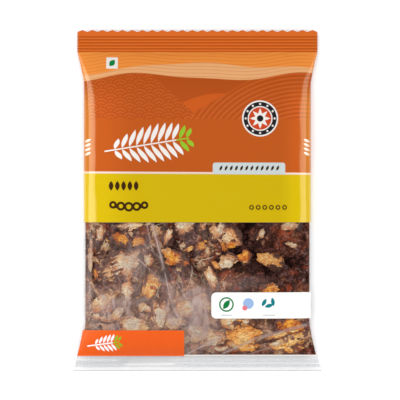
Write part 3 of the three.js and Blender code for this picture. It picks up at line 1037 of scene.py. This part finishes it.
# pulp sunk this far below the film gets the full painted near-black shade
SUNK_DEPTH = 4.0  # where pulp lies this far from the film it looks black
PULP_DARK = srgb(58, 22, 10)
PULP_MAUVE = srgb(117, 81, 77)
PULP_BROWN = srgb(130, 66, 36)
PULP_TAN = srgb(176, 112, 66)
SCRAP_CREAM = srgb(204, 168, 134)
PORE_BLACK = srgb(34, 8, 2)
SPECK_CREAM = srgb(206, 176, 150)
SPECK_MAUVE = srgb(150, 118, 112)
HIDDEN_BROWN = srgb(44, 14, 7)
RUST_BROWN = srgb(138, 56, 22)
LIT_TAN = srgb(196, 152, 126)
# painted shade in the hollows
HOLLOW_SHADE_BLACK = srgb(22, 3, 1)
# painted shade where the pulp is sunk below the film
SUNK_SHADE_BLACK = srgb(24, 4, 1)
SUNK_SHADE_BROWN = srgb(76, 43, 37)

# Painted shade, near black, in hollows in the front of the pulp: x, h, half width and half height.
SHADED_HOLLOWS = [
    (4.5, 86.0, 3.5, 7.5),
    (32.0, 65.5, 17.0, 5.0),
    (27.0, 78.0, 9.0, 3.5),
    (-20.0, 60.0, 4.0, 6.0),
]


def pulp_material():
    """Sticky pulp: red-brown, stained with lining, paler low in the window; painted near-black shade where
    sunk.
    """
    material, shader = new_material("sticky pulp", IOR=1.45, Specular_IOR_Level=0.25)
    build = Tree(material.node_tree)
    spot = build.spot()
    sunk, share, _ = build.split(build.uv("reach"))
    place = build.group(place_group)
    upper = build.between(place["Z"], 5.0, 10.0)
    share = share * (upper * 0.5 + 0.5)
    broad = build.noise(spot, 50.0, 4.0, 0.6, 0.8)
    patch = build.noise(spot, 74.0, 7.0, 0.7, 1.3) + (share * 0.1 - 0.09)
    medium = build.noise(spot, 170.0, 6.0, 0.66, 1.1)
    fine = build.noise(spot, 620.0, 3.0, 0.6)
    stain = build.between(patch, 0.48, 0.52) * build.between(medium, 0.4, 0.5)
    scrap = build.between(patch, 0.525, 0.56) * build.between(medium, 0.4, 0.48)
    hidden = (1.0 - share) * (build.between(broad, 0.56, 0.44) * 0.5 + 0.36)
    rust = build.between(build.noise(spot, 120.0, 5.0, 0.66, 1.2), 0.55, 0.59)
    rust = rust * build.between(medium, 0.36, 0.44)
    to_right = build.most(place["X"] - 5.0, 0.0) * 0.55
    lit = upper * build.between(place["H"] + to_right, 60.0, 34.0)
    lit = lit * (build.between(broad, 0.42, 0.55) * 0.45 + 0.32)
    # painted shade, near black, in a few hollows
    hollow = 0.0
    for x, h, wide, high in SHADED_HOLLOWS:
        away = build.length((place["X"] - x) / wide, (place["H"] - h) / high) + (medium - 0.5) * 1.6
        hollow = build.most(hollow, build.between(away, 1.05, 0.6))
    paint = build.painted(build.colour(build.between(medium, 0.43, 0.57), PULP_DARK, PULP_MAUVE), [
        (build.between(broad, 0.5, 0.56) * 0.7, PULP_BROWN),
        (stain * 0.8, PULP_TAN),
        (scrap * 0.85, SCRAP_CREAM),
        (build.between(fine, 0.5, 0.42) * 0.66, PORE_BLACK),
        (build.between(fine, 0.63, 0.69) * 0.5, SPECK_CREAM),
        (hidden, HIDDEN_BROWN),
        (rust * 0.75, RUST_BROWN),
        (lit, LIT_TAN),
        (build.between(fine, 0.585, 0.625) * 0.4, SPECK_MAUVE),
        (hollow * upper * 0.8, HOLLOW_SHADE_BLACK),
    ])
    # painted shade: sunk pulp turns near black, mottled with brown
    crisp = build.between(medium + (fine - 0.5) * 0.5, 0.47, 0.56)
    deep = build.colour(crisp, SUNK_SHADE_BLACK, SUNK_SHADE_BROWN)
    build.feed(shader["Base Color"], build.colour(build.between(sunk, 0.2, 0.95), paint, deep))
    build.feed(shader["Roughness"], medium * 0.5 + 0.25 + sunk * 0.5)
    build.bump(shader, medium + patch + fine * 0.4, 0.7, 0.6)
    return material


def lining_share(x, h):
    """How much torn lining sticks to the pulp there: most of it on the left and near the seal."""
    to_right = 0.85 * smooth((x - 8) / 30) * smooth((h - 30) / 12)
    return clamp(1.0 - to_right - smooth((h - 50) / 16) * mix(0.18, 0.3, smooth((x + 25) / 20)))


def note_depth(piece):
    """Writes each corner's painted shade, from how far it is sunk below the film, and how much lining sticks
    there.
    """
    layer = only_layer(piece)
    for loop in piece.data.loops:
        spot = piece.data.vertices[loop.vertex_index].co / MM
        h = spot.y + LENGTH / 2
        gap = pulp_top(spot.x, h) + LINING_ROOM - spot.z
        under = spot.z - back_at(spot.x, h)
        share = lining_share(spot.x, h)
        sunk = clamp((min(gap, under) - 1.3) / SUNK_DEPTH) * (1.25 - 0.9 * share)
        layer.data[loop.index].uv = (sunk, share)


def only_layer(piece):
    """The piece's one UV map, named reach."""
    layers = piece.data.uv_layers
    while layers:
        layers.remove(layers[0])
    return layers.new(name="reach")


def knead(node, material):
    """A fine copy of one lump: remeshed, then pitted and folded by noise."""
    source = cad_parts[node]
    piece = source.copy()
    piece.data = source.data.copy()
    for key in list(piece.keys()):
        del piece[key]
    piece.parent = None
    piece.name = node.replace("pulp", "pulp_lump")
    bpy.context.scene.collection.objects.link(piece)
    edit_all(piece, bpy.ops.mesh.remove_doubles, threshold=1e-6)
    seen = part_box(node)[0].y / MM + LENGTH / 2 < WINDOW_TOP
    remesh = piece.modifiers.new("knead", "REMESH")
    remesh.mode = "VOXEL"
    remesh.voxel_size = (0.85 if seen else 1.5) * MM
    apply_all(piece)
    mesh = piece.data
    lowest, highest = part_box(node)
    middle = (lowest + highest) / 2 / MM
    moved = []
    for vertex in mesh.vertices:
        spot = vertex.co / MM
        spot.x = middle.x + (spot.x - middle.x) * LUMP_SPREAD
        spot.y = max(middle.y + (spot.y - middle.y) * LUMP_SPREAD, CLEAR_EDGE + 0.5 - LENGTH / 2)
        h = spot.y + LENGTH / 2
        out = sum(depth * noise.noise(spot / size + start) for size, depth, start in KNEADING)
        target = spot + vertex.normal * (out - 0.1)
        side = half_width(h) - 1.2
        target.x = clamp(target.x, -side, side)
        ceiling = pulp_top(target.x, h) + LINING_ROOM - 0.9
        floor = back_at(target.x, h) + 0.75
        target.z = clamp(target.z, floor, max(ceiling, floor))
        moved.append(target * MM)
    for vertex, target in zip(mesh.vertices, moved):
        vertex.co = target
    note_depth(piece)
    return finish_piece(piece, "fruit_pulp", node, material=material)


def make_bed(material):
    """The pressed pulp between and under the lumps, out to the folds and down to the seal."""
    columns, rows = 100, 150
    piece = slab("pulp_bed", columns, rows)
    low, high = BOTTOM_SEAL + 0.7, 186.0

    def where(column, row, upper):
        h = mix(low, high, row / rows)
        u = 2 * column / columns - 1
        x = crowded(u) * (half_width(h) - 0.9)
        bottom = back_at(x, h) + 0.9
        ceiling = pulp_top(x, h) + LINING_ROOM - 0.6
        edge = smooth((1 - abs(u)) / 0.12)
        share = mix(0.98, 0.62, edge * smooth((h - low) / 9)) + 0.34 * noise_at(x, h, 6.0, 11.0)
        share -= smooth((h - 170.0) / 14)
        middle = mix(bottom, max(ceiling, bottom + 0.2), 0.5)
        top = mix(bottom, max(ceiling, bottom + 0.2), clamp(share, 0.5, 1.0))
        return (x, h, top) if upper else (x, h, min(bottom, middle))

    place_by_grid(piece, columns, rows, where)
    note_depth(piece)
    return finish_piece(piece, "fruit_pulp", material=material)


# ---------- linings ----------
# For each sort: its heart, blush, rim, dull, vein and tinge, and how dark the pits in it are.
LINING_COLOURS = {
    "cream": (
        srgb(218, 203, 176), srgb(212, 168, 116), srgb(160, 84, 40),
        srgb(142, 104, 82), srgb(240, 222, 180), srgb(208, 126, 56), 0.25,
    ),
    "amber": (
        srgb(234, 154, 40), srgb(202, 104, 26), srgb(128, 46, 14),
        srgb(126, 66, 38), srgb(244, 186, 80), srgb(232, 190, 132), 0.6,
    ),
    "honey": (
        srgb(236, 192, 122), srgb(228, 158, 70), srgb(176, 98, 40),
        srgb(134, 88, 52), srgb(246, 216, 150), srgb(236, 150, 60), 0.6,
    ),
}
CRACK_BROWN = srgb(80, 42, 32)
UNDER_RED = srgb(60, 26, 13)
UNDER_MAUVE = srgb(116, 78, 66)
UNDER_DULL = srgb(46, 18, 9)


def lining_material(sort, heart, blush, rim, dull, vein, tinge, pitted):
    """Torn lining: paler in its heart, stained towards a ragged edge, where pulp sticks to it."""
    material, shader = new_material(f"{sort} lining", IOR=1.4)
    build = Tree(material.node_tree)
    spot = build.spot()
    reach, tone, _ = build.split(build.uv("reach"))
    broad = build.noise(spot, 100.0, 3.0, 0.6, 0.6)
    blotch = build.noise(spot, 210.0, 4.0, 0.62, 0.8)
    torn = build.noise(build.uv("grain"), 1.0, 6.0, 0.68, 0.9)
    fine = build.noise(spot, 900.0, 2.0, 0.5, 1.0)
    worn = reach + (torn - 0.5) * 2.4 + (broad - 0.5) * 1.8
    tinted = build.between(build.noise(spot, 66.0, 3.0, 0.6), 0.5, 0.56) * build.between(worn, 0.1, 0.5)
    stain = build.between(worn, 0.58, 0.72) * build.between(blotch, 0.42, 0.47)
    crack = 1.0 - build.between(abs(torn - 0.45), 0.004, 0.022)
    pits = build.between(fine, 0.46, 0.41)
    paint = build.painted(build.colour(build.between(broad - reach * 0.22, 0.35, 0.4), blush, heart), [
        (build.between(blotch, 0.55, 0.58) * 0.85, blush),
        (tinted * 0.8, tinge),
        (build.between(torn, 0.53, 0.56) * 0.6, vein),
        (stain * 0.9, rim),
        (crack * 0.85, CRACK_BROWN),
        (tone * 0.5, dull),
        (build.between(fine, 0.6, 0.66) * 0.6, vein),
        (pits * pitted, rim),
    ])
    under = build.painted(build.colour(build.between(torn, 0.44, 0.54), UNDER_RED, UNDER_MAUVE), [
        (tone * 0.9, UNDER_DULL),
        (pits * 0.6, PORE_BLACK),
    ])
    build.feed(shader["Base Color"], build.colour(build.between(worn, 0.78, 0.9), paint, under))
    build.feed(shader["Roughness"], fine * 0.4 + 0.25)
    build.bump(shader, torn + fine * 0.5, 0.6, 0.35)
    return material


LEAN = 0.42  # how far off centre the clean part of a flake is
# The waves of a torn edge: how close, how deep, how much only at the rim, and where their noise starts.
RAGGED = [
    (1.1, 0.5, 0, (1, 0, 0)),
    (2.4, 0.18, 1, (0, 1, 0)),
    (5.5, 0.13, 2, (0, 0, 1)),
    (13.0, 0.08, 4, (1, 1, 0)),
]


def ragged_shred(name, centre, size, turn, thickness, cells, seed, lie, rim, tone, lean=None):
    """A torn flake: a square grid drawn out to a ragged oval, laid on lie(x, h).

    It is clean towards one side, which lean may give, and dissolves into the pulp on the other. Rim scales
    how far that goes, and tone is how dull the flake is.
    """
    columns, rows = cells
    piece = slab(name, columns, rows)
    cosine, sine = math.cos(math.radians(turn)), math.sin(math.radians(turn))
    waves = [(pace, depth, power, Vector(start) * seed) for pace, depth, power, start in RAGGED]

    def rounded(u, v):
        return u * math.sqrt(1 - v * v / 2), v * math.sqrt(1 - u * u / 2)

    def where(column, row, upper):
        u, v = 2 * column / columns - 1, 2 * row / rows - 1
        reach = max(abs(u), abs(v))
        round_u, round_v = rounded(u, v)
        angle = math.atan2(round_v, round_u)
        way = Vector((math.cos(angle), math.sin(angle), 0.0))
        torn = 1.0
        for pace, depth, power, start in waves:
            torn += depth * noise.noise(way * pace + start) * reach**power
        along, beside = round_u * torn * size[0] / 2, round_v * torn * size[1] / 2
        h = max(centre[1] + sine * along + cosine * beside, CLEAR_EDGE + 1.0 + 0.3 * reach)
        side = half_width(h) - 2.0
        x = clamp(centre[0] + cosine * along - sine * beside, -side, side)
        crumple = 0.9 * noise.noise(Vector((x / 3.0, h / 3.0, seed))) * reach - 0.3 * reach**2
        wall = thickness * (1.0 - 0.7 * reach**3)
        return x, h, lie(x, h) + crumple + (wall / 2 if upper else -wall / 2)

    layer = only_layer(piece)
    grain = piece.data.uv_layers.new(name="grain")
    toward = seed * 2.4 if lean is None else math.radians(lean - turn)
    clean = LEAN * math.cos(toward), LEAN * math.sin(toward)
    for loop in piece.data.loops:
        flat = piece.data.vertices[loop.vertex_index].co
        round_u, round_v = rounded(2 * flat.x, 2 * flat.y)
        layer.data[loop.index].uv = (math.hypot(round_u - clean[0], round_v - clean[1]) * 0.88 * rim, tone)
        grain.data[loop.index].uv = (flat.x * size[0] * 0.16 + seed, flat.y * size[1] * 0.5 + seed)
    place_by_grid(piece, columns, rows, where)
    return piece


def join(pieces, name):
    choose(pieces[0])
    for piece in pieces:
        piece.select_set(True)
    bpy.ops.object.join()
    pieces[0].name = name
    return pieces[0]


LINING_SPREAD = 1.12  # the torn edges reach past the solid shreds
TORN_SPREAD = 1.15

# The shreds that the solid model has, repeated: x, h, length, width, turn, colour and clean side.
LININGS = [
    (-48, 67, 26, 17, 25, "cream", 0),
    (-13.5, 70.5, 15, 10, -15, "amber", 180),
    (19.5, 69.5, 11, 8.5, 20, "cream", -120),
    (13, 86.5, 12, 10, 80, "cream", 90),
    (47, 68, 19, 8.5, -30, "honey", 135),
    (58, 79, 9.5, 4, -15, "cream", 0),
    (-23.5, 38, 18, 12, 80, "cream", -60),
    (29, 24.5, 23, 17, 5, "honey", -90),
    (-59, 41, 16, 11, 40, "cream", 90),
    (-42, 27, 17, 13, 10, "cream", 60),
    (1.5, 23, 14, 10, -30, "cream", 160),
    (55, 29, 14, 10, 20, "amber", 0),
    (-61, 84, 14, 5.5, 80, "cream", 90),
    (-43, 91, 16, 6, 0, "cream", 0),
    (-9, 89, 14, 9, 20, "cream", 100),
    (-29, 54.5, 14, 9, 60, "honey", -80),
    (9.5, 56, 18, 6, -70, "cream", 110),
    (42.5, 50.5, 14, 8, 10, "amber", 0),
]


# Smaller torn pieces that only this model has: x, h, length, width and turn.
TORN = {
    "cream": [
        (-29.1, 71.3, 8, 8, 40),
        (-42.2, 50.7, 15, 8, 80),
        (-62.0, 33.9, 14, 7, -5),
        (-7.9, 38.2, 15, 11, 20),
        (2.3, 89.5, 7, 6, 30),
        (38.9, 85.0, 7, 4, 70),
        (8.9, 22.6, 14, 12, 15),
        (50.3, 18.3, 10, 5, 10),
        (3.3, 43.0, 13, 10, -20),
        (59.4, 90.6, 11, 7, 0),
        (-30.0, 14.5, 16, 8, 0),
        (18.5, 30.0, 12, 8, -10),
        (-18.5, 84.0, 9, 5, 60),
        (26.0, 30.0, 15, 8, 5),
        (14.0, 14.5, 14, 5, 14),
        (19.5, 85.5, 17, 11, -15),
        (-66.5, 74.0, 22, 4, 87),
        (-12.0, 30.0, 13, 9, 15),
        (12.5, 38.0, 12, 8, -25),
        (-50.0, 35.0, 13, 7, 35),
        (-33.5, 40.0, 11, 6, -20),
    ],
    "amber": [
        (-35.4, 81.3, 10, 6, 10),
        (29.5, 70.7, 9, 8, 0),
        (62.6, 27.6, 7, 5, -30),
        (-48.5, 81.9, 12, 8, -15),
        (1.4, 77.5, 9, 6, 25),
        (-22.0, 22.0, 12, 8, 30),
        (22.0, 80.0, 8, 5, 10),
        (-29.5, 51.0, 8, 7, 60),
        (44.0, 71.0, 8, 4, -35),
    ],
    "honey": [
        (62.5, 20.6, 15, 7, 20),
        (32.6, 14.0, 15, 5, 8),
        (54.0, 13.6, 32, 5, -4),
        (50.0, 22.0, 24, 4, 20),
        (11.5, 66.5, 7, 3.5, -50),
        (-5.5, 76.5, 6, 3, 30),
    ],
}
SLOTS = {"cream": "cream_lining", "amber": "amber_lining", "honey": "amber_lining", "dark": "fruit_pulp"}


def dullness(x, h):
    """The pieces nearer the print, and on the right, are duller."""
    return 0.1 + 0.45 * smooth((h - 45) / 35) + 0.45 * smooth((x - 34) / 10) * smooth((h - 40) / 12)


def lay_shred(name, row, spread, thickness, per_mm, least, seed, lift, lean=None):
    """Lays the shred of one row on the pulp, with that many cells to a millimetre and at least so many."""
    x, h, length, width, turn = row[:5]
    cells = (max(least[0], round(length * per_mm)), max(least[1], round(width * per_mm)))
    tone = dullness(x, h)
    return ragged_shred(
        name, (x, h), (length * spread, width * spread), turn, thickness, cells, seed,
        lambda px, ph: pulp_top(px, ph) + lift, 0.94 + 0.25 * tone, tone, lean,
    )


def make_torn(materials):
    for colour, rows in TORN.items():
        flakes = [
            lay_shred("torn", row, TORN_SPREAD, 0.5, 1.4, (8, 7), 51 + number * 2.3, 0.6)
            for number, row in enumerate(rows)
        ]
        finish_piece(join(flakes, f"torn_{colour}"), SLOTS[colour], material=materials[colour])


def make_linings(materials):
    for number, row in enumerate(LININGS, start=1):
        name, colour = f"lining_shred_{number:02d}", row[5]
        piece = lay_shred(name, row, LINING_SPREAD, 0.6, 1.6, (10, 8), number * 3.7, 0.68, row[6])
        finish_piece(piece, SLOTS[colour], f"lining_{number:02d}", material=materials[colour])


# ---------- crumbs and fibres ----------
def surface_under(pieces):
    """A search tree over the lumps, to lay crumbs on."""
    points, faces = [], []
    for piece in pieces:
        first = len(points)
        points.extend(vertex.co.copy() for vertex in piece.data.vertices)
        faces.extend([first + i for i in polygon.vertices] for polygon in piece.data.polygons)
    return BVHTree.FromPolygons(points, faces)


def lying_on(tree, from_below):
    """The height just off the pulp at x, h, kept inside the film."""
    def height(x, h):
        start = Vector(as_placed(x, h, -5 if from_below else 40))
        hit = tree.ray_cast(start, Vector((0, 0, 1 if from_below else -1)))[0]
        top = pulp_top(x, h) + LINING_ROOM - 0.8
        low = back_at(x, h) + 0.7
        if from_below:
            return clamp(hit.z / MM - 0.25 if hit else low + 0.5, low, top)
        return clamp(hit.z / MM + 0.25 if hit else top - 1.5, low, top)

    return height


def make_crumbs(tree, materials, draw):
    kinds = [("cream", 38), ("amber", 26), ("dark", 24)]
    for colour, count in kinds:
        flakes = []
        for number in range(count):
            h = draw.uniform(CLEAR_EDGE + 2.0, WINDOW_TOP + 1)
            x = draw.uniform(-1, 0.98) * (half_width(h) - 5)
            if draw.random() > lining_share(x, h) + 0.15:
                x = -x
            below = number % 4 == 3
            length = 3.0 + 9.0 * draw.random() ** 2.0
            flake = ragged_shred(
                "flake", (x, h), (length, length * draw.uniform(0.4, 0.8)), draw.uniform(0, 180),
                draw.uniform(0.3, 0.5), (8, 7), draw.uniform(0, 90), lying_on(tree, below),
                0.78 + 0.02 * length, mix(draw.random(), 1.4, 0.4 * dullness(x, h)),
            )
            flakes.append(flake)
        finish_piece(join(flakes, f"crumbs_{colour}"), SLOTS[colour], material=materials[colour])


STRAND_SIDES = 5


def strand(points, radius):
    """A closed tube along points, slimmer at its ends."""
    shape = bmesh.new()
    rings = []
    for i, point in enumerate(points):
        after = points[min(i + 1, len(points) - 1)]
        before = points[max(i - 1, 0)]
        way = (after - before).normalized()
        side = way.cross(Vector((0, 0, 1))).normalized()
        up = side.cross(way)
        slim = radius * (0.45 + 0.55 * math.sin(math.pi * (i + 0.5) / len(points)))
        ring = []
        for corner in range(STRAND_SIDES):
            angle = 2 * math.pi * corner / STRAND_SIDES
            ring.append(shape.verts.new(point + (side * math.cos(angle) + up * math.sin(angle)) * slim))
        rings.append(ring)
    for one, other in zip(rings, rings[1:]):
        for corner in range(STRAND_SIDES):
            following = (corner + 1) % STRAND_SIDES
            shape.faces.new((one[corner], one[following], other[following], other[corner]))
    shape.faces.new(list(reversed(rings[0])))
    shape.faces.new(rings[-1])
    bmesh.ops.recalc_face_normals(shape, faces=shape.faces)
    mesh = bpy.data.meshes.new("strand")
    shape.to_mesh(mesh)
    shape.free()
    piece = bpy.data.objects.new("strand", mesh)
    bpy.context.scene.collection.objects.link(piece)
    return piece


def make_fibres(tree, materials, draw):
    for colour, count in (("cream", 20), ("amber", 18)):
        strands = []
        for number in range(count):
            height = lying_on(tree, number % 4 == 3)
            h = draw.uniform(CLEAR_EDGE + 6, WINDOW_TOP - 2)
            x = draw.uniform(-1, 1) * (half_width(h) - 12)
            if lining_share(x, h) < 0.5:
                x = -x
            angle = draw.uniform(0, 2 * math.pi)
            bend = draw.uniform(-0.16, 0.16)
            points = []
            for _ in range(draw.randint(8, 15)):
                x = clamp(x, -half_width(h) + 4, half_width(h) - 4)
                h = clamp(h, CLEAR_EDGE + 2, WINDOW_TOP + 4)
                points.append(Vector(as_placed(x, h, height(x, h) + 0.15)))
                x += math.cos(angle) * 1.1
                h += math.sin(angle) * 1.1
                angle += bend + draw.uniform(-0.25, 0.25)
            strands.append(strand(points, draw.uniform(0.12, 0.26) * MM))
        finish_piece(join(strands, f"fibres_{colour}"), SLOTS[colour], material=materials[colour])


# ---------- table, light and camera ----------
def make_stage():
    deselect()
    bpy.ops.mesh.primitive_plane_add(size=4, location=(0, 0, -0.2 * MM))
    table = bpy.context.object
    table.name = "white_table"
    material, _ = new_material(
        "white table", Base_Color=(0.96, 0.96, 0.96, 1), Roughness=0.9, Specular_IOR_Level=0.1
    )
    table.data.materials.append(material)


def soft_box(name, place, size, radiance, shown=True):
    light = bpy.data.lights.new(name, "AREA")
    light.shape = "RECTANGLE"
    light.size, light.size_y = size
    light.energy = radiance * math.pi * size[0] * size[1]
    lamp = bpy.data.objects.new(name, light)
    lamp.location = place
    lamp.rotation_mode = "QUATERNION"
    lamp.rotation_quaternion = Vector(place).to_track_quat("Z", "Y")
    lamp.visible_glossy = shown
    lamp.visible_camera = False
    bpy.context.scene.collection.objects.link(lamp)


def make_light():
    world = bpy.data.worlds.new("studio")
    world.use_nodes = True
    world.node_tree.nodes["Background"].inputs["Color"].default_value = (1, 1, 1, 1)
    world.node_tree.nodes["Background"].inputs["Strength"].default_value = 0.02
    bpy.context.scene.world = world
    soft_box("overhead", (0, 0, 2.6), (3.2, 3.2), 2.68, shown=False)
    soft_box("strip_left", (-0.53, 0, 0.38), (0.7, 0.25), 4.6)
    soft_box("strip_right", (0.53, 0, 0.38), (0.7, 0.25), 3.3)


def make_camera():
    lens, sensor = 250.0, 36.0
    frame_width = 249.5  # millimetres across the picture, at the height of the side folds
    data = bpy.data.cameras.new("camera")
    data.lens = lens
    data.sensor_width = sensor
    data.clip_start = 0.01
    camera = bpy.data.objects.new("camera", data)
    camera.location = (1.6 * MM, 0.3 * MM, (frame_width * lens / sensor + FOLD_HEIGHT) * MM)
    bpy.context.scene.collection.objects.link(camera)
    bpy.context.scene.camera = camera


# ---------- the assembly ----------
def main():
    bpy.context.scene.view_settings.view_transform = "Standard"
    make_camera()
    make_light()
    make_stage()
    make_film()
    pulp = pulp_material()
    lumps = [knead(node, pulp) for node in sorted(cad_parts) if node.startswith("pulp")]
    materials = {name: lining_material(name, *row) for name, row in LINING_COLOURS.items()}
    materials["dark"] = pulp
    make_bed(pulp)
    make_linings(materials)
    make_torn(materials)
    tree = surface_under(lumps)
    draw = random.Random(23)
    make_crumbs(tree, materials, draw)
    make_fibres(tree, materials, draw)


main()
